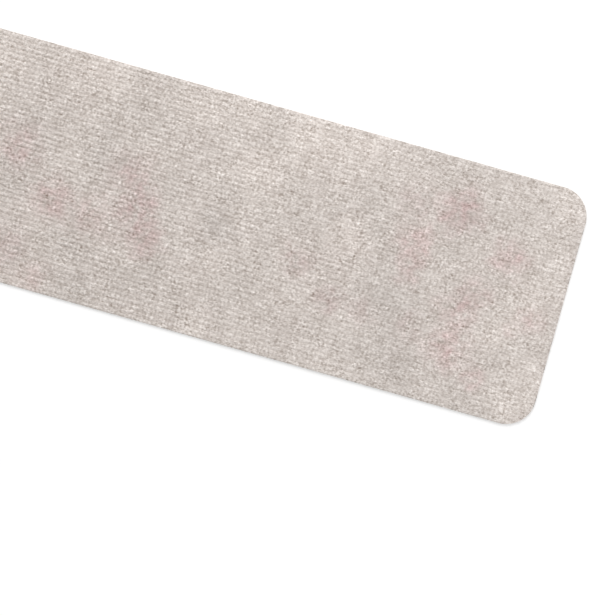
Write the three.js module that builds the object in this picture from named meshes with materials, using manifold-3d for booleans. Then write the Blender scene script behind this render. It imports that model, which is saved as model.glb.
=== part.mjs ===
// Anti slip mat for a stair tread.
//
// The mat is a long strip of needle felt with plain cut edges and rounded corners. Fine ribs run along its
// length. A white adhesive backing carries the felt, and a clear release film covers the adhesive until the mat
// is laid. All three layers are cut to one outline and lie face to face.
//
// Millimetres, +Z up. The origin is the middle of the face that the mat lies on, and +X runs along its length.

import * as THREE from "three";
import { mergeVertices } from "three/addons/utils/BufferGeometryUtils.js";
import Module from "manifold-3d";

// Outline of the mat
const MAT_LENGTH = 762;
const MAT_WIDTH = 203;
const CORNER_RADIUS = 25;

// Layers, from the bottom up. The felt is measured to the crests of its ribs.
const FILM_THICKNESS = 0.1;
const ADHESIVE_THICKNESS = 0.5;
const FELT_THICKNESS = 2.4;

// Ribs of the felt
const RIB_PITCH = 4.35;
const RIB_DEPTH = 0.9;

// Straight steps in which the round shapes are drawn: three.js divides an arc into twice this many
const RIB_ARC_DIVISIONS = 3;
const CORNER_ARC_DIVISIONS = 6;

const wasm = await Module();
wasm.setup();

// A closed three.js geometry as a solid that can be cut
function solidFrom(geometry) {
  const bare = geometry.clone();
  bare.deleteAttribute("normal");
  bare.deleteAttribute("uv");
  const welded = mergeVertices(bare);
  return new wasm.Manifold(
    new wasm.Mesh({
      numProp: 3,
      vertProperties: welded.attributes.position.array,
      triVerts: Uint32Array.from(welded.index.array),
    }),
  );
}

function geometryFrom(solid) {
  const { vertProperties, triVerts } = solid.getMesh();
  const geometry = new THREE.BufferGeometry();
  geometry.setAttribute("position", new THREE.BufferAttribute(vertProperties, 3));
  geometry.setIndex(new THREE.BufferAttribute(triVerts, 1));
  geometry.computeVertexNormals();
  return geometry;
}

// Outline that every layer is cut to, seen from above
function matOutline() {
  const x = MAT_LENGTH / 2 - CORNER_RADIUS;
  const y = MAT_WIDTH / 2 - CORNER_RADIUS;
  const quarter = Math.PI / 2;
  const outline = new THREE.Shape();
  outline.absarc(x, y, CORNER_RADIUS, 0, quarter);
  outline.absarc(-x, y, CORNER_RADIUS, quarter, 2 * quarter);
  outline.absarc(-x, -y, CORNER_RADIUS, 2 * quarter, 3 * quarter);
  outline.absarc(x, -y, CORNER_RADIUS, 3 * quarter, 4 * quarter);
  outline.closePath();
  return outline;
}

function flatLayer(thickness) {
  return new THREE.ExtrudeGeometry(matOutline(), {
    depth: thickness,
    bevelEnabled: false,
    curveSegments: CORNER_ARC_DIVISIONS,
  });
}

// Section across the felt: a flat back and a row of ribs, centred on the mat. Each rib is one arc from valley to
// valley, and its radius follows from the pitch and the depth. The row is at least as wide as the mat, so the
// outermost ribs are cut by the edge, as on felt that is cut from a roll.
function ribbedSection() {
  const halfPitch = RIB_PITCH / 2;
  const radius = (halfPitch ** 2 + RIB_DEPTH ** 2) / (2 * RIB_DEPTH);
  const centreHeight = FELT_THICKNESS - radius;
  const halfAngle = Math.atan2(halfPitch, radius - RIB_DEPTH);
  const ribCount = Math.ceil(MAT_WIDTH / RIB_PITCH);
  const rowEdge = ribCount * halfPitch;
  const section = new THREE.Shape();
  for (let rib = 0; rib < ribCount; rib++) {
    const crest = -rowEdge + (rib + 0.5) * RIB_PITCH;
    section.absarc(crest, centreHeight, radius, Math.PI / 2 + halfAngle, Math.PI / 2 - halfAngle, true);
  }
  section.lineTo(rowEdge, 0);
  section.lineTo(-rowEdge, 0);
  section.closePath();
  return section;
}

// Ribbed felt, a little longer than the mat on both ends so that the outline cuts it all round
function feltStock() {
  const stockLength = MAT_LENGTH + 2 * CORNER_RADIUS;
  const stock = new THREE.ExtrudeGeometry(ribbedSection(), {
    depth: stockLength,
    bevelEnabled: false,
    curveSegments: RIB_ARC_DIVISIONS,
  });
  stock.translate(0, 0, -stockLength / 2);
  // The section's own x and y go across and up, and its depth along the mat
  const across = new THREE.Vector3(0, 1, 0);
  const up = new THREE.Vector3(0, 0, 1);
  const along = new THREE.Vector3(1, 0, 0);
  return stock.applyMatrix4(new THREE.Matrix4().makeBasis(across, up, along));
}

// The cutter reaches one thickness past the felt above and below
function ribbedFelt() {
  const cutter = flatLayer(3 * FELT_THICKNESS);
  cutter.translate(0, 0, -FELT_THICKNESS);
  return geometryFrom(solidFrom(feltStock()).intersect(solidFrom(cutter)));
}

const clearFilm = new THREE.MeshStandardMaterial({
  color: "#eeeeee",
  roughness: 0.25,
  metalness: 0,
  transparent: true,
  opacity: 0.4,
});
const whiteAdhesive = new THREE.MeshStandardMaterial({ color: "#f2f1ee", roughness: 0.6, metalness: 0 });
const beigeFelt = new THREE.MeshStandardMaterial({ color: "#cdc3bd", roughness: 0.95, metalness: 0 });

function layer(name, geometry, material, height) {
  const mesh = new THREE.Mesh(geometry, material);
  mesh.name = name;
  mesh.position.z = height;
  return mesh;
}

const mat = new THREE.Group();
mat.name = "stair_tread_mat";
mat.add(layer("release_film", flatLayer(FILM_THICKNESS), clearFilm, 0));
mat.add(layer("adhesive_backing", flatLayer(ADHESIVE_THICKNESS), whiteAdhesive, FILM_THICKNESS));
mat.add(layer("carpet_face", ribbedFelt(), beigeFelt, FILM_THICKNESS + ADHESIVE_THICKNESS));

export default mat;
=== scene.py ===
# %% [markdown]
# A ribbed felt mat for a stair tread, seen from straight above.
#
# The mat is three thin layers cut to one outline: needle felt on top, a white adhesive back, and a
# clear film that is pulled off when the mat is laid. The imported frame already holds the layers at
# their true size, and this lesson gives them their looks. Everything is in metres, +Z is up, and +X
# runs along the mat and its ribs.

# %% Open the frame
import math

import bmesh
import bpy
import numpy as np
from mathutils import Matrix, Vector, noise


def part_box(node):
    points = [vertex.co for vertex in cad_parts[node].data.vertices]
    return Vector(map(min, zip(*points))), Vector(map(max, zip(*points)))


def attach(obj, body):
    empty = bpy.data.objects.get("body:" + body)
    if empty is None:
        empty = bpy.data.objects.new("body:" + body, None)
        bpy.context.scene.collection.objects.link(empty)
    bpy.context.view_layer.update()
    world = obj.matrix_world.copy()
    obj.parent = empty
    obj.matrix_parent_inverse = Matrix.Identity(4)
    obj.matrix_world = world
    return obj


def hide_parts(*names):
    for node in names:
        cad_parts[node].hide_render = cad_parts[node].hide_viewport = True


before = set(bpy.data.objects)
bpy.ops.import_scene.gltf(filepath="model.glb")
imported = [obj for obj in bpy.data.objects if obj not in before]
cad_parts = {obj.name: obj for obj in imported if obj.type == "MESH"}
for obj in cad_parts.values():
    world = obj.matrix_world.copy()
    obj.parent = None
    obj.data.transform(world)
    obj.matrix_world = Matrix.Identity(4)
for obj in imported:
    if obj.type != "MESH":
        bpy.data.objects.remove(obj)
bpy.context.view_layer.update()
print("frame nodes:", sorted(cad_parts))

# %% [markdown]
# A few sizes drive all the others. The felt's length, width and height are read from the frame, so
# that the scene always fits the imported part. The corner radius and the pitch and depth of the ribs
# are the numbers that the part was made with. Needling also leaves small loops one after another
# along each rib.

# %% Sizes of the felt
MM = 0.001
RIB_PITCH = 4.35 * MM
RIB_DEPTH = 0.9 * MM
LOOP_PITCH = 3.45 * MM
CORNER_RADIUS = 25 * MM

felt_low, felt_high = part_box("carpet_face")
half_length = felt_high.x
half_width = felt_high.y
rib_count = math.ceil(2 * half_width / RIB_PITCH)
loop_count = math.ceil(2 * half_length / LOOP_PITCH)
print("ribs across:", rib_count, " loops along each rib:", loop_count)

# %% [markdown]
# The camera looks straight down. It could be placed by eye, but a plan view needs no guessing. The
# mat's width in the picture gives the scale, the places of its end and of its middle line give the
# point of the mat that the camera stands over, and the slope of its long edges gives the turn. Both
# places are counted from the middle of the picture's top left pixel, one along the mat and one
# across it.

# %% Camera
PICTURE_SIDE_PX = 616
MAT_WIDTH_PX = 244.95
MAT_END_PX = 624.0
MAT_MIDDLE_PX = 148.97
MAT_TURN = math.radians(15.75)
LENS_MM = 85
SENSOR_MM = 36


def add_object(name, data):
    """A new object at the origin, put into the scene."""
    new_object = bpy.data.objects.new(name, data)
    bpy.context.scene.collection.objects.link(new_object)
    return new_object


metres_per_px = 2 * half_width / MAT_WIDTH_PX
centre_px = (PICTURE_SIDE_PX - 1) / 2
centre_along_px = centre_px * (math.cos(MAT_TURN) + math.sin(MAT_TURN))
centre_across_px = centre_px * (math.cos(MAT_TURN) - math.sin(MAT_TURN))
camera_height = PICTURE_SIDE_PX * metres_per_px * LENS_MM / SENSOR_MM

camera_data = bpy.data.cameras.new("plan_camera")
camera_data.lens = LENS_MM
camera_data.sensor_width = SENSOR_MM
camera = add_object("plan_camera", camera_data)
camera.location = (
    half_length - (MAT_END_PX - centre_along_px) * metres_per_px,
    -(centre_across_px - MAT_MIDDLE_PX) * metres_per_px,
    felt_high.z + camera_height,
)
camera.rotation_euler = (0, 0, MAT_TURN)
bpy.context.scene.camera = camera
bpy.context.scene.view_settings.view_transform = "Standard"
print("camera stands", round(camera_height, 3), "m above the felt")

# %% [markdown]
# The mat lies on a wide plain floor, a single face.

# %% Floor
FLOOR_SIDE = 12.0


def mesh_from(bm, name):
    """A mesh of that name with the bmesh's shape. The bmesh is used up."""
    mesh = bpy.data.meshes.new(name)
    bm.to_mesh(mesh)
    bm.free()
    return mesh


floor_bm = bmesh.new()
bmesh.ops.create_grid(floor_bm, x_segments=1, y_segments=1, size=FLOOR_SIDE / 2)
floor_mesh = mesh_from(floor_bm, "floor")
floor = add_object("floor", floor_mesh)
print("floor:", FLOOR_SIDE, "m square")

# %% [markdown]
# Materials could be put together by hand in the shader editor, but a script can be read and run
# again. Small helpers keep its material cells short. The owner in them is a material or the world,
# and new nodes go into its tree. A socket takes a plain value or the output of another node.


# %% Node helpers
def new_material(name):
    """A material with a plain Principled shader, and the shader."""
    material = bpy.data.materials.new(name)
    material.use_nodes = True
    return material, material.node_tree.nodes["Principled BSDF"]


def set_inputs(owner, node, inputs):
    """Sets each socket to its value, or links it where the value is an output."""
    for socket, value in inputs.items():
        if isinstance(value, bpy.types.NodeSocket):
            owner.node_tree.links.new(value, node.inputs[socket])
        else:
            node.inputs[socket].default_value = value


def add_node(owner, kind, inputs, **settings):
    """A new node of that kind, with its settings made and its inputs filled."""
    node = owner.node_tree.nodes.new(kind)
    for name, value in settings.items():
        setattr(node, name, value)
    set_inputs(owner, node, inputs)
    return node


def math_node(owner, operation, first, second=0.0):
    """What the operation makes of two numbers, or of the first alone."""
    return add_node(owner, "ShaderNodeMath", {0: first, 1: second}, operation=operation).outputs[0]


def ramp(owner, value, start, end, low=0.0, high=1.0, shape="LINEAR"):
    """Goes from low to high while the value goes from start to end."""
    inputs = {0: value, 1: start, 2: end, 3: low, 4: high}
    return add_node(owner, "ShaderNodeMapRange", inputs, interpolation_type=shape).outputs[0]


def object_place(owner):
    """The place of the shaded point, in metres."""
    return add_node(owner, "ShaderNodeTexCoord", {}).outputs["Object"]


def seen_directly(owner):
    """1 for camera, glossy and transmission rays, 0 for the rays that carry light."""
    rays = add_node(owner, "ShaderNodeLightPath", {}).outputs
    camera_or_glossy = math_node(owner, "MAXIMUM", rays["Is Camera Ray"], rays["Is Glossy Ray"])
    return math_node(owner, "MAXIMUM", camera_or_glossy, rays["Is Transmission Ray"])


# %% [markdown]
# The floor is white and catches the mat's soft shadow. More light would whiten it too, but would
# bleach the mat. So part of its white is a glow that the camera sees, straight on, in reflections
# and through clear pieces, but that lights nothing. With it the floor meets the white background
# without an edge. The glow is low round the mat, where it would wash out the shadow, and grows with
# the distance, where the lamp is weaker.

# %% White of the floor
WHITE = (1, 1, 1, 1)
FLOOR_WHITE = 0.86
GLOW_BY_MAT = 0.24
GLOW_FAR_OFF = 0.5
GLOW_RISES_FROM = 0.25
GLOW_RISES_TO = 1.6

floor_material, floor_shader = new_material("white_floor")
from_middle = add_node(
    floor_material, "ShaderNodeVectorMath", {0: object_place(floor_material)}, operation="LENGTH"
).outputs["Value"]
glow = ramp(floor_material, from_middle, GLOW_RISES_FROM, GLOW_RISES_TO, GLOW_BY_MAT, GLOW_FAR_OFF)
set_inputs(
    floor_material,
    floor_shader,
    {
        "Base Color": (FLOOR_WHITE, FLOOR_WHITE, FLOOR_WHITE, 1),
        "Roughness": 1.0,
        "Specular IOR Level": 0.0,
        "Emission Color": WHITE,
        "Emission Strength": math_node(floor_material, "MULTIPLY", seen_directly(floor_material), glow),
    },
)
floor_mesh.materials.append(floor_material)
print("floor material:", len(floor_material.node_tree.nodes), "nodes")

# %% [markdown]
# The light is soft and plain. A dome of light alone would leave the ribs flat, and a lamp alone
# would leave their far sides dark. So a pale dome gives most of the light, and one wide lamp high
# up beyond the +Y long edge gives the ribs their gentle shading. Together they are near the level
# at which a matt colour shows as it is written.

# %% Lights
SKY_LEVEL = 0.617
LAMP_POWER = 67.0
LAMP_SIDE = 2.5
LAMP_PLACE = Vector((-0.8, 2.4, 2.7))

world = bpy.data.worlds.new("studio")
bpy.context.scene.world = world
world.use_nodes = True
sky = world.node_tree.nodes["Background"]
sky_strength = ramp(world, seen_directly(world), 0.0, 1.0, SKY_LEVEL, 1.0)
set_inputs(world, sky, {"Color": WHITE, "Strength": sky_strength})

lamp_data = bpy.data.lights.new("soft_lamp", "AREA")
lamp_data.shape = "SQUARE"
lamp_data.size = LAMP_SIDE
lamp_data.energy = LAMP_POWER
lamp = add_object("soft_lamp", lamp_data)
lamp.location = LAMP_PLACE
lamp.rotation_euler = (-LAMP_PLACE).to_track_quat("-Z", "Y").to_euler()
print("lamp:", round(LAMP_PLACE.length, 2), "m from the mat's middle")

# %% [markdown]
# The felt starts as a flat grid that follows the pattern: four faces across each rib and two along
# each loop. A grid with any other step would need many more faces to catch every crest and valley.
# It is a little larger than the mat, and planes cut it to length and width while it is still flat.

# %% Flat grid cut to length and width
FACES_PER_RIB = 4
FACES_PER_LOOP = 2
ON_PLANE = 1e-7


def cut(bm, geometry, point, outwards):
    """Cuts away what lies beyond a plane, and gives back what is left of the geometry."""
    result = bmesh.ops.bisect_plane(
        bm, geom=geometry, dist=ON_PLANE, plane_co=point, plane_no=outwards, clear_outer=True
    )
    return [part for part in result["geom"] if part.is_valid]


felt_bm = bmesh.new()
bmesh.ops.create_grid(
    felt_bm,
    x_segments=loop_count * FACES_PER_LOOP,
    y_segments=rib_count * FACES_PER_RIB,
    size=0.5,
)
bmesh.ops.scale(felt_bm, vec=(loop_count * LOOP_PITCH, rib_count * RIB_PITCH, 1), verts=felt_bm.verts)

for side in (-1, 1):
    for outwards, reach in ((Vector((side, 0, 0)), half_length), (Vector((0, side, 0)), half_width)):
        whole = felt_bm.verts[:] + felt_bm.edges[:] + felt_bm.faces[:]
        cut(felt_bm, whole, outwards * reach, outwards)
print("felt grid:", len(felt_bm.faces), "faces")

# %% [markdown]
# The mat's corners are round. A bevel can't reach past the first small faces of so fine a grid, so
# the corners are cut by planes too. Each plane touches the corner's arc, and all of them together
# leave a round outline. Only the faces near the corner are handed to the cuts, to keep them quick.

# %% Round corners
CORNER_CUTS = 16


def each_once(parts):
    """Every part once, in the order in which it first comes, so that each run gives the same mesh."""
    return list(dict.fromkeys(parts))


corner_x = half_length - CORNER_RADIUS
corner_y = half_width - CORNER_RADIUS
for side_x in (-1, 1):
    for side_y in (-1, 1):
        centre = Vector((side_x * corner_x, side_y * corner_y, 0))
        start = centre - Vector((side_x * LOOP_PITCH, side_y * RIB_PITCH, 0))
        in_corner = {
            v for v in felt_bm.verts if (v.co.x - start.x) * side_x > 0 and (v.co.y - start.y) * side_y > 0
        }
        corner = [face for face in felt_bm.faces if in_corner.issuperset(face.verts)]
        part = each_once(v for face in corner for v in face.verts)
        part += each_once(e for face in corner for e in face.edges)
        part += corner
        for step in range(CORNER_CUTS):
            angle = (step + 0.5) / CORNER_CUTS * math.pi / 2
            outwards = Vector((side_x * math.cos(angle), side_y * math.sin(angle), 0))
            part = cut(felt_bm, part, centre + outwards * CORNER_RADIUS, outwards)

felt_mesh = mesh_from(felt_bm, "ribbed_felt")
print("felt with round corners:", len(felt_mesh.polygons), "faces")

# %% [markdown]
# Ribs and loops could be modelled once and repeated, but then they would all be alike. Here each
# point of the grid is told where it lies in the pattern instead: on which rib, how far from the
# rib's crest, and where along a loop. By chance, a rib starts its loops on the common step or half
# a step off it, and every loop draws a number for how it differs from the others.

# %% Place of each point in the pattern
SEED = 7

draw = np.random.default_rng(SEED)
flat_points = np.empty(3 * len(felt_mesh.vertices))
felt_mesh.vertices.foreach_get("co", flat_points)
points = flat_points.reshape(-1, 3)
x, y = points[:, 0], points[:, 1]

rib_place = y / RIB_PITCH + rib_count / 2
rib_number = np.clip(np.floor(rib_place), 0, rib_count - 1).astype(int)
off_crest = rib_place - rib_number - 0.5
rib_start = draw.integers(0, 2, size=rib_count)
loop_place = x / LOOP_PITCH + loop_count / 2 + 0.5 * rib_start[rib_number]
loop_number = np.floor(loop_place + 0.5).astype(int)
loop_dip = 0.5 - 0.5 * np.cos(2 * math.pi * loop_place)
loop_chance = draw.normal(size=(rib_count, loop_count + 2))
own_chance = loop_chance[rib_number, loop_number]
print("points:", len(points), " ribs whose loops are half a step off:", rib_start.sum())

# %% [markdown]
# What varies slowly on real felt is noise here. All of it is read on flat planes through one solid
# pattern, and each use has a plane at its own height, so that no two are alike. Another helper
# measures how far a point lies inside the outline, for what the blade has done along the edge.

# %% Noise and outline helpers
NOISE_FADE = 0.8
NOISE_STEP = 2.0


def clouds(x, y, size, plane, octaves=2):
    """Smooth noise from about -1 to 1, in clouds of about that size. More octaves add finer detail."""
    spots = [Vector((px, py, plane)) for px, py in zip(x / size, y / size)]
    return np.array([noise.fractal(spot, NOISE_FADE, NOISE_STEP, octaves) for spot in spots])


def depth_inside_outline(x, y):
    """How far each point lies inside the mat's rounded outline."""
    past_x = np.abs(x) - corner_x
    past_y = np.abs(y) - corner_y
    round_part = np.hypot(np.maximum(past_x, 0), np.maximum(past_y, 0))
    return CORNER_RADIUS - round_part - np.minimum(np.maximum(past_x, past_y), 0)


inside = depth_inside_outline(x, y)
print("deepest point inside the outline:", round(inside.max() / MM, 1), "mm")

# %% [markdown]
# Real needle felt is a mat of loose fibres, far too many to model. The mesh carries what the eye
# reads as form: round ribs, the loops along them, the small differences from loop to loop, and an
# edge that the blade has pressed down a little. A bump in the material would do for one picture,
# but real shape also shows at the edge and stays with the exported mat. A formula of the point's
# place gives each height. Towards the +X end a fuller nap fills part of the valleys.

# %% Height of the ribs and loops
LOOP_DEPTH = 0.4 * MM
LOOP_UNEVENNESS = 0.10 * MM
NAP_FILL = 0.30
NAP_FILLS_FROM = -30 * MM
NAP_FILLS_TO = 290 * MM
PRESSED_EDGE = 0.6 * MM
PRESSED_BAND = 3.2 * MM

towards_end = np.clip((x - NAP_FILLS_FROM) / (NAP_FILLS_TO - NAP_FILLS_FROM), 0, 1)
fullness = NAP_FILL * towards_end**2 * (3 - 2 * towards_end)
rib_radius = ((RIB_PITCH / 2) ** 2 + RIB_DEPTH**2) / (2 * RIB_DEPTH)
above_valley = np.sqrt(rib_radius**2 - (off_crest * RIB_PITCH) ** 2) - (rib_radius - RIB_DEPTH)
crest_share = above_valley / RIB_DEPTH
pressed = np.clip(1 - inside / PRESSED_BAND, 0, 1) ** 2
free = 1 - pressed

height = felt_high.z - (RIB_DEPTH - above_valley) * (1 - fullness)
height -= LOOP_DEPTH * loop_dip * crest_share
height += LOOP_UNEVENNESS * own_chance * crest_share * free
height -= PRESSED_EDGE * pressed
points[:, 2] = np.minimum(height, felt_high.z + LOOP_UNEVENNESS)
lowest, highest = points[:, 2].min() / MM, points[:, 2].max() / MM
print("felt height from", round(lowest, 2), "to", round(highest, 2), "mm")

# %% [markdown]
# Were each point left exactly above its place in the pattern, the felt would look printed. So the
# points are shifted a little as well. The loops lean, so that one flank of their rib runs ahead of
# the other. They drift along their rib, on each rib in another way, and the ribs wander a little to
# the side. Nothing moves right at the edge, so the outline stays as it was cut.

# %% Small shifts of the pattern
LOOP_LEAN = 0.3 * MM
LOOP_DRIFT = 1.2 * MM
DRIFT_SIZE = 18 * MM
RIBS_APART = 10 * DRIFT_SIZE
RIB_WANDER = 1.2 * MM
WANDER_WIDTH = 50 * MM
WANDER_LENGTH = 150 * MM

lean = LOOP_LEAN * np.sin(2 * math.pi * off_crest)
drift = LOOP_DRIFT * clouds(x, RIBS_APART * rib_number, DRIFT_SIZE, plane=3.5)
wander = RIB_WANDER * clouds(x * WANDER_WIDTH / WANDER_LENGTH, y, WANDER_WIDTH, plane=5.5)
shift = np.stack([(lean + drift) * free, wander * free, np.zeros(len(x))], axis=1)
felt_mesh.vertices.foreach_set("co", (points + shift).ravel())
print("largest shift:", round(np.hypot(shift[:, 0], shift[:, 1]).max() / MM, 2), "mm")

# %% [markdown]
# Pale, taupe and a few rose fibres are mixed before the felt is needled, and the mix is never even.
# Noise alone would give some mat of this felt. A list of patches gives this one. They are listed for
# the end that the picture shows, and the rest of the mat takes them turned half round, about a point
# on its middle line.

# %% Patches of the mix
# Lengths are in mm. Each patch has its place along and across the mat and its radius, and then the
# shares of taupe and of rose that it adds.
PATCHES_TURN_AT = -150
ROSE_PATCHES = (
    (9, 18, 17, 0.12, 0.32),
    (20, -6, 18, 0.22, 0.56),
    (32, -34, 15, 0.16, 0.54),
    (-86, 12, 18, 0.12, 0.45),
    (-52, -24, 18, 0.12, 0.54),
    (-80, -74, 21, 0.18, 0.28),
    (-8, -26, 22, 0.00, 0.22),
    (-18, -29, 12, 0.00, 0.22),
    (-48, -88, 13, 0.00, 0.28),
    (-3, 14, 9, 0.00, 0.20),
    (158, -18, 12, 0.22, 0.32),
    (192, -39, 13, 0.27, 0.35),
    (222, -42, 12, 0.08, 0.20),
    (240, 58, 16, 0.16, 0.22),
    (250, 24, 16, 0.00, 0.50),
    (252, 0, 12, 0.04, 0.40),
    (262, -46, 11, 0.04, 0.20),
    (278, 58, 17, 0.16, 0.66),
    (296, -22, 15, 0.08, 0.42),
    (298, -53, 17, 0.06, 0.55),
    (308, -6, 15, 0.00, 0.38),
    (325, -74, 10, 0.00, 0.42),
    (328, 32, 15, 0.08, 0.50),
    (352, -18, 12, 0.00, 0.30),
    (366, -14, 10, 0.00, 0.16),
)
DARKER_PATCHES = (
    (-94, -16, 20, 0.18, 0),
    (-60, 4, 66, 0.05, 0),
    (-29, -46, 18, 0.16, 0),
    (-20, -84, 24, 0.18, 0),
    (-14, 26, 20, 0.20, 0),
    (6, 66, 20, 0.10, 0),
    (38, -76, 24, 0.14, 0),
    (87, -8, 17, 0.32, 0),
    (88, 24, 14, 0.12, 0),
    (214, 34, 20, 0.06, 0),
    (238, -22, 30, 0.16, 0),
    (250, -66, 34, 0.11, 0),
    (322, -92, 22, 0.14, 0),
)
PALER_PATCHES = (
    (-110, 86, 24, -0.14, 0),
    (-48, 92, 32, -0.22, 0),
    (54, 90, 26, -0.20, 0),
    (90, -94, 16, -0.14, 0),
    (92, 88, 13, -0.16, 0),
    (94, -34, 14, -0.14, 0),
    (112, 46, 24, -0.24, 0),
    (146, 90, 28, -0.34, 0),
    (150, -8, 13, -0.13, 0),
    (178, 54, 13, -0.14, 0),
    (188, 86, 19, -0.24, 0),
    (195, 17, 15, -0.20, 0),
    (328, -34, 16, -0.20, 0),
    (346, -6, 20, -0.20, 0),
    (366, 34, 30, -0.14, 0),
    (368, 90, 24, -0.26, 0),
    (370, -80, 30, -0.18, 0),
)
patches = ROSE_PATCHES + DARKER_PATCHES + PALER_PATCHES
print("patches:", len(patches))

# %% [markdown]
# Two numbers at each point carry the shares of taupe and of rose to the material. Nodes could work
# them out too, but each patch would take several nodes, and here one loop adds them all. Both
# shares vary in wide clouds, and each patch is added to them. It fades out quickly at its radius,
# noise makes its edge ragged, and small flecks break up the rose.

# %% Fibre mix at each point
TAUPE_SHARE = 0.5
CLOUD_SIZE = 42 * MM
CLOUD_TAUPE = 0.10
CLOUD_ROSE = 0.06
PATCH_EDGE_SIZE = 16 * MM
PATCH_EDGE_SHIFT = 7 * MM
FLECK_SIZE = 6 * MM
FLECK_ROSE = 1.0

edge_x = x + PATCH_EDGE_SHIFT * clouds(x, y, PATCH_EDGE_SIZE, plane=11.5)
edge_y = y + PATCH_EDGE_SHIFT * clouds(x, y, PATCH_EDGE_SIZE, plane=21.5)
taupe = TAUPE_SHARE + CLOUD_TAUPE * clouds(x, y, CLOUD_SIZE, plane=1.5)
rose = CLOUD_ROSE * np.maximum(clouds(x, y, CLOUD_SIZE, plane=31.5), 0)
for turn in (1, -1):
    for along, across, radius, more_taupe, more_rose in patches:
        centre_x = (PATCHES_TURN_AT + turn * (along - PATCHES_TURN_AT)) * MM
        centre_y = turn * across * MM
        distance = np.hypot(edge_x - centre_x, edge_y - centre_y) / (radius * MM)
        strength = np.exp(-(distance**3))
        taupe += more_taupe * strength
        rose += more_rose * strength
rose *= 1 + FLECK_ROSE * clouds(x, y, FLECK_SIZE, plane=41.5)
print("taupe share: mean", round(taupe.mean(), 3), "spread", round(taupe.std(), 3))
print("rose share: mean", round(rose.mean(), 3), "highest", round(rose.max(), 3))

# %% [markdown]
# A third number, the tone, says how light the point looks, and it also carries painted shade.
# Between real fibres light gets lost, and a closed surface can't do that by itself. So shade is
# painted into the tone in the valleys and between the loops, and the tone is uneven from loop to
# loop. Its mean is taken off, so that it leaves the felt's colour as it is.

# %% Tone and painted shade at each point
LUMP_SIZE = 9 * MM
LUMP_TONE = 0.095
LOOP_TONE = 0.02
DIP_SHADE = 0.20
DIP_LOST_IN_VALLEY = 0.5
VALLEY_SHADE = 0.21

valley = np.sin(math.pi * off_crest) ** 2
tone_and_shade = LUMP_TONE * clouds(x, y, LUMP_SIZE, plane=8.5, octaves=3)
tone_and_shade += LOOP_TONE * own_chance * crest_share
# Painted shade: darker between the loops, and in the valleys between the ribs.
tone_and_shade -= DIP_SHADE * loop_dip * (1 - DIP_LOST_IN_VALLEY * valley)
tone_and_shade -= VALLEY_SHADE * valley * (1 - fullness)
tone_and_shade -= tone_and_shade.mean()
for name, values in (("taupe", taupe), ("rose", rose), ("tone_and_shade", tone_and_shade)):
    layer = felt_mesh.attributes.new(name, "FLOAT", "POINT")
    layer.data.foreach_set("value", values.astype(np.float32))
print("tone: spread", round(tone_and_shade.std(), 3))

# %% [markdown]
# A blade has cut the edge square. A Solidify modifier would close the felt too, but its back would
# be as wavy as its face. So the border of the relief is drawn down twice, to the middle of the wall
# and to the flat back, and the wall is a little ragged from its middle down. One flat face closes
# the back, where the adhesive lies.

# %% Cut edge and back
RAGGED = 0.12 * MM
SHARP_EDGE = math.radians(60)

felt_bm = bmesh.new()
felt_bm.from_mesh(felt_mesh)
border = [edge for edge in felt_bm.edges if edge.is_boundary]
for share in (0.5, 1.0):
    drawn = bmesh.ops.extrude_edge_only(felt_bm, edges=border)["geom"]
    border = [part for part in drawn if isinstance(part, bmesh.types.BMEdge) and part.is_boundary]
    for vertex in each_once(v for edge in border for v in edge.verts):
        vertex.co.z += (felt_low.z - vertex.co.z) * share
        if share < 1:
            vertex.co.x += RAGGED * draw.uniform(-1, 1)
            vertex.co.y += RAGGED * draw.uniform(-1, 1)
bmesh.ops.contextual_create(felt_bm, geom=border)
bmesh.ops.recalc_face_normals(felt_bm, faces=felt_bm.faces)
for face in felt_bm.faces:
    face.smooth = True
felt_bm.to_mesh(felt_mesh)
felt_bm.free()
felt_mesh.set_sharp_from_angle(angle=SHARP_EDGE)
felt_mesh.calc_loop_triangles()
print("felt:", len(felt_mesh.loop_triangles), "triangles")

# %% [markdown]
# The felt takes the place of the frame's plain felt, which is hidden, and it lies on the adhesive.

# %% Felt piece
felt = add_object("ribbed_felt", felt_mesh)
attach(felt, "root")
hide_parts("carpet_face")

# %% [markdown]
# Close up, felt shows grain and short tufts. An image of felt would blur there and repeat itself,
# so both are noise on the mat's own coordinates. Tufts are noise stretched along the mat, added up
# from three turned patterns. The stretch comes before the turn, so a turn gives other tufts, but
# not another direction: real tufts lie every way, and these all run along the mat. A wider noise
# makes grain and tufts crisper in some places than in others.

# %% Grain and tufts of the felt
GRAIN_SIZE = 1.8 * MM
GRAIN_TONE = 1.35
TUFT_SIZE = (3.5 * MM, 1.3 * MM, 1.3 * MM)
TUFT_TURNS = (35, 95, 155)
TUFT_TONE = 0.35
CRISP_SIZE = 9 * MM
CRISP_SHARE = 2.2


def noise_node(owner, place, size, turn=0, detail=1.0, roughness=0.5):
    """Noise about zero, with features of that size along X, Y and Z. A turn gives other ones."""
    scale = [1 / side for side in size]
    inputs = {"Vector": place, "Rotation": (0, 0, math.radians(turn)), "Scale": scale}
    scaled = add_node(owner, "ShaderNodeMapping", inputs).outputs[0]
    inputs = {"Vector": scaled, "Scale": 1.0, "Detail": detail, "Roughness": roughness}
    return math_node(owner, "SUBTRACT", add_node(owner, "ShaderNodeTexNoise", inputs).outputs[0], 0.5)


felt_material, felt_shader = new_material("heather_felt")
place = object_place(felt_material)

grain = noise_node(felt_material, place, [GRAIN_SIZE] * 3, detail=2.0, roughness=0.55)
fine = math_node(felt_material, "MULTIPLY", grain, GRAIN_TONE)
for degrees in TUFT_TURNS:
    tuft = noise_node(felt_material, place, TUFT_SIZE, turn=degrees)
    fine = math_node(felt_material, "ADD", fine, math_node(felt_material, "MULTIPLY", tuft, TUFT_TONE))

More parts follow.
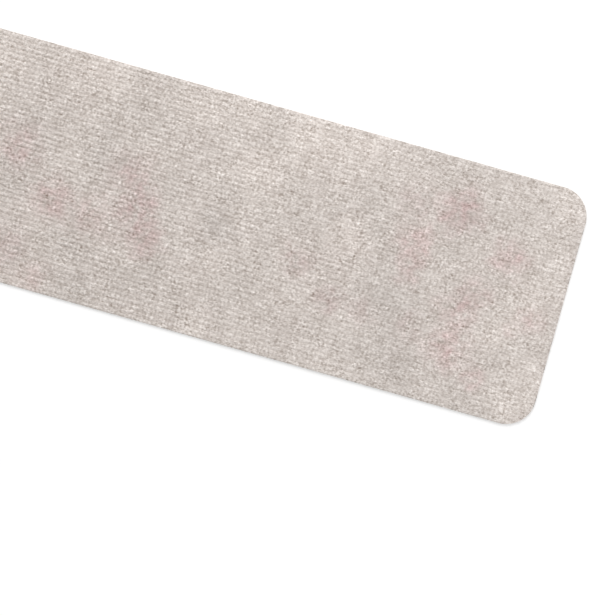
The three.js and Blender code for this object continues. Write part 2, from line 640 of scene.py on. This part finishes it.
crispness = noise_node(felt_material, place, [CRISP_SIZE] * 3)
crispness = math_node(felt_material, "MULTIPLY", crispness, CRISP_SHARE)
crispness = math_node(felt_material, "ADD", crispness, 1.0)
fine = math_node(felt_material, "MULTIPLY", fine, crispness)
print("noises for the tufts:", len(TUFT_TURNS))

# %% [markdown]
# Single pale fibres show only close up. Hair strands could draw them, but so many would be heavy,
# and here they would hardly stand off the surface. So they are thin lines in the material, drawn
# where a long narrow noise passes through its middle value. Like the tufts they all run along the
# mat. The lines come to 1.15 on average, and most of that is taken off, so that they make the whole
# felt only a little paler.

# %% Single fibres of the felt
FIBRE_SIZE = (9 * MM, 1.3 * MM, 1.3 * MM)
FIBRE_TURNS = (28, 70, 112, 154)
FIBRE_THIN = 0.07
FIBRE_TAKEN_OFF = 0.92

fibres = -FIBRE_TAKEN_OFF
for degrees in FIBRE_TURNS:
    strand = noise_node(felt_material, place, FIBRE_SIZE, turn=degrees)
    thin_line = ramp(felt_material, math_node(felt_material, "ABSOLUTE", strand), 0.0, FIBRE_THIN, 1.0, 0.0)
    fibres = math_node(felt_material, "ADD", fibres, thin_line)
print("noises for the fibres:", len(FIBRE_TURNS))

# %% [markdown]
# The felt's colour is a mix of two fibres, and the share of taupe decides the mix. Rose tints it.
# Where a fleck falls on a strong patch, the share of rose can pass 1, and the Mix node takes that
# as 1. The tone, with the shade painted into it, and the fine pattern then make the colour lighter
# or darker. A light spot is also a little greyer than a dark one, so they act least on red and most
# on blue.

# %% Colour of the felt
PALE_FIBRE = (0.822, 0.741, 0.686, 1)
TAUPE_FIBRE = (0.512, 0.463, 0.429, 1)
ROSE_TINT = (1.0, 0.850, 0.876, 1)
TONE_BY_COLOUR = (0.91, 1.0, 1.07)
FIBRE_TONE = 0.16


def mix_colours(owner, share, first, second, blend="MIX"):
    """The Mix node, with the sockets that it keeps for colours."""
    inputs = {0: share, 6: first, 7: second}
    return add_node(owner, "ShaderNodeMix", inputs, data_type="RGBA", blend_type=blend).outputs[2]


taupe_here, rose_here, tone_and_shade_here = [
    add_node(felt_material, "ShaderNodeAttribute", {}, attribute_name=name).outputs["Fac"]
    for name in ("taupe", "rose", "tone_and_shade")
]
mixed = mix_colours(felt_material, taupe_here, PALE_FIBRE, TAUPE_FIBRE)
tinted = mix_colours(felt_material, rose_here, mixed, ROSE_TINT, blend="MULTIPLY")
fibre_tone = math_node(felt_material, "MULTIPLY", fibres, FIBRE_TONE)
fine_tone = math_node(felt_material, "ADD", fine, fibre_tone)
# The tone brings its painted shade of the valleys and loop dips into the colour here.
whole_tone_and_shade = math_node(felt_material, "ADD", tone_and_shade_here, fine_tone)
lighter = add_node(
    felt_material,
    "ShaderNodeVectorMath",
    {0: whole_tone_and_shade, 1: TONE_BY_COLOUR, 2: (1, 1, 1)},
    operation="MULTIPLY_ADD",
).outputs[0]
felt_colour = add_node(
    felt_material, "ShaderNodeVectorMath", {0: tinted, 1: lighter}, operation="MULTIPLY"
).outputs[0]
print("felt colours from", PALE_FIBRE[:3], "to", TAUPE_FIBRE[:3])

# %% [markdown]
# The same fine pattern raises the surface slightly, as a bump, because it is too fine for the mesh.
# Felt has no gloss, only a soft sheen where it is seen at a low angle, because the fibre ends that
# stand up catch the light there.

# %% Surface of the felt
FINE_RELIEF = 0.2 * MM
FIBRE_RELIEF = 0.3


def bump(owner, height, distance, strength):
    """A surface that seems raised by up to that distance."""
    inputs = {"Strength": strength, "Distance": distance, "Height": height}
    return add_node(owner, "ShaderNodeBump", inputs).outputs[0]


raised_fibres = math_node(felt_material, "MULTIPLY", fibres, FIBRE_RELIEF)
raised = math_node(felt_material, "ADD", fine, raised_fibres)
set_inputs(
    felt_material,
    felt_shader,
    {
        "Base Color": felt_colour,
        "Normal": bump(felt_material, raised, FINE_RELIEF, strength=0.6),
        "Roughness": 0.95,
        "Specular IOR Level": 0.15,
        "Sheen Weight": 0.2,
        "Sheen Roughness": 0.6,
    },
)
felt_mesh.materials.append(felt_material)
print("felt material:", len(felt_material.node_tree.nodes), "nodes")

# %% [markdown]
# The adhesive is a thin flat layer, so the frame's own shape will do and only needs a finish. It is
# white and smooth, a little cloudy where it was spread thicker. Its thin edge is what shows of it
# when the mat lies down.

# %% Adhesive backing
ADHESIVE_WHITE = (0.88, 0.875, 0.86, 1)
ADHESIVE_CLOUDY = (0.82, 0.81, 0.79, 1)
SPREAD_SIZE = (36 * MM, 18 * MM, 18 * MM)

adhesive_material, adhesive_shader = new_material("spread_adhesive")
spread = noise_node(adhesive_material, object_place(adhesive_material), SPREAD_SIZE, detail=3.0)
cloudy = math_node(adhesive_material, "ADD", spread, 0.5)
adhesive_colour = mix_colours(adhesive_material, cloudy, ADHESIVE_WHITE, ADHESIVE_CLOUDY)
set_inputs(adhesive_material, adhesive_shader, {"Base Color": adhesive_colour, "Roughness": 0.4})
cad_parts["adhesive_backing"].material_slots[0].material = adhesive_material
print("adhesive material:", len(adhesive_material.node_tree.nodes), "nodes")

# %% [markdown]
# The release film is clear and glossy, so it is mostly see-through. Where a mat has been bent in
# its packing, the film is left with a band of fine creases. As shape they would lift the film off
# the adhesive, so they are a bump and a painted shade: thin grey lines, drawn where a stretched noise
# passes through its middle value. Real creases run slantwise. These run along the mat, because here
# too a turn leaves the direction of the stretch as it is.

# %% Creased film
FILM_TINT = (0.93, 0.94, 0.94, 1)
FILM_FOLD_SHADE = (0.62, 0.63, 0.63, 1)
FILM_COVER = 0.25
CREASE_SIZE = (30 * MM, 6 * MM, 6 * MM)
CREASE_TURN = 62
CREASE_THIN = 0.03
CREASE_RELIEF = 0.4 * MM
CREASED_FROM = 165 * MM
CREASED_TO = 255 * MM
CREASED_FADE = 20 * MM

film_material, film_shader = new_material("creased_film")
film_place = object_place(film_material)
along = add_node(film_material, "ShaderNodeSeparateXYZ", {0: film_place}).outputs["X"]
creased_band = math_node(
    film_material,
    "MULTIPLY",
    ramp(film_material, along, CREASED_FROM - CREASED_FADE, CREASED_FROM + CREASED_FADE, shape="SMOOTHSTEP"),
    ramp(film_material, along, CREASED_TO + CREASED_FADE, CREASED_TO - CREASED_FADE, shape="SMOOTHSTEP"),
)
folds = noise_node(film_material, film_place, CREASE_SIZE, turn=CREASE_TURN, detail=2.0)
off_fold = math_node(film_material, "ABSOLUTE", folds)
fold_lines = ramp(film_material, off_fold, 0.0, CREASE_THIN, 1.0, 0.0, shape="SMOOTHSTEP")
creases = math_node(film_material, "MULTIPLY", fold_lines, creased_band)
set_inputs(
    film_material,
    film_shader,
    {
        # Painted shade: the crease lines are a darker grey than the flat film.
        "Base Color": mix_colours(film_material, creases, FILM_TINT, FILM_FOLD_SHADE),
        "Normal": bump(film_material, creases, CREASE_RELIEF, strength=1.0),
        "Roughness": 0.15,
        "Alpha": FILM_COVER,
    },
)
print("film material:", len(film_material.node_tree.nodes), "nodes")

# %% [markdown]
# The frame's film touches the adhesive over its whole face, and a clear face in one plane with
# another confuses a renderer. So a copy of the film, thinner by a fiftieth of a millimetre, takes
# its place and leaves a hair of air between them. The frame's mesh is loose triangles, which are
# merged in the copy first.

# %% Film piece
FILM_SHARE = 0.8
SAME_POINT = 1e-6

film_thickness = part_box("release_film")[1].z
film_bm = bmesh.new()
film_bm.from_mesh(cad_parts["release_film"].data)
bmesh.ops.remove_doubles(film_bm, verts=film_bm.verts, dist=SAME_POINT)
bmesh.ops.scale(film_bm, vec=(1, 1, FILM_SHARE), verts=film_bm.verts)
film_mesh = mesh_from(film_bm, "clear_film")
film_mesh.materials.clear()
film_mesh.materials.append(film_material)
film = add_object("clear_film", film_mesh)
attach(film, "root")
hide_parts("release_film")
print("film:", len(film_mesh.polygons), "faces,", round(FILM_SHARE * film_thickness / MM, 3), "mm thick")
